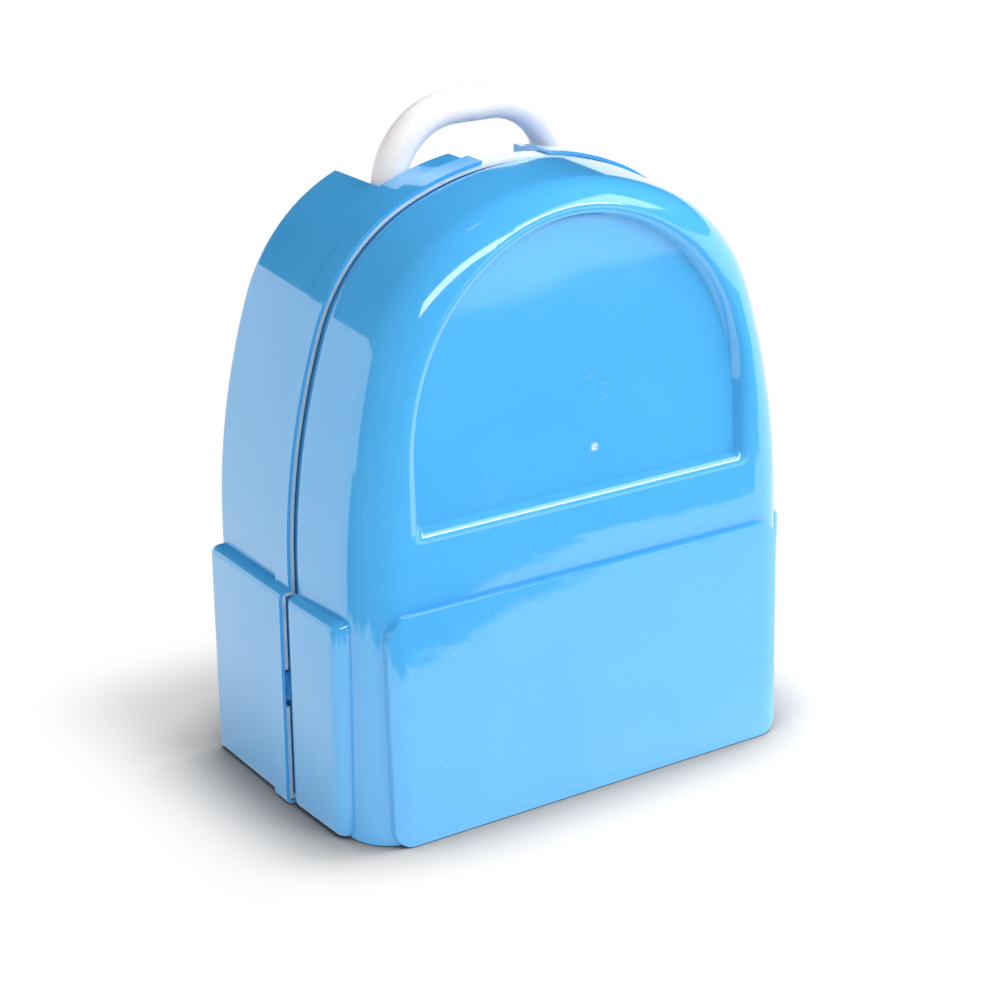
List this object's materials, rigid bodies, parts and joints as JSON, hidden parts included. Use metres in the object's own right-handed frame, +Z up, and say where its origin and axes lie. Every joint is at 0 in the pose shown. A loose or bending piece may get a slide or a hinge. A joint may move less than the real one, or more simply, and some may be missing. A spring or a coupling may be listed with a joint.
{
  "type": "toy doctor backpack",
  "caption": "Toy backpack case: two glossy arched shells hinged along one side, with moulded pockets, an inner tray, a folding carrying handle and webbing shoulder straps.",
  "frame": {"origin": "on the floor, in the middle of the width, under the front edge of the rear shell's lip", "axes": "+Z up, +X to the right seen from the front, -Y out of the front"},
  "size_m": [0.226, 0.1447, 0.2685],
  "materials": {
    "blue_shell": "glossy moulded polypropylene",
    "white_tray": "smooth white moulded plastic",
    "white_handle": "smooth white moulded plastic",
    "steel": "plain steel",
    "webbing": "woven webbing",
    "black_plastic": "moulded acetal"
  },
  "bodies": {
    "back": {"rear_shell": "blue_shell", "inner_tray": "white_tray", "tray_screws": "steel", "hinge_pin_lower": "steel", "hinge_pin_upper": "steel", "handle_pin_left": "steel", "handle_pin_right": "steel", "shoulder_strap_left": "webbing", "shoulder_strap_right": "webbing", "lower_strap_left": "webbing", "lower_strap_right": "webbing", "strap_adjuster_left": "black_plastic", "strap_adjuster_right": "black_plastic", "upper_keeper_left": "black_plastic", "upper_keeper_right": "black_plastic", "lower_keeper_left": "black_plastic", "lower_keeper_right": "black_plastic"},
    "front": {"front_shell": "blue_shell"},
    "carry_handle": {"handle": "white_handle"}
  },
  "joints": [
    {"name": "case_hinge", "type": "hinge", "parent": "back", "child": "front", "pos_m": [0.1132, 0, 0.045], "axis": [0, 0, 1], "range_deg": [0, 180]},
    {"name": "handle_pivot", "type": "hinge", "parent": "back", "child": "carry_handle", "pos_m": [0, 0.0313, 0.228], "axis": [-1, 0, 0], "range_deg": [0, 90]}
  ]
}
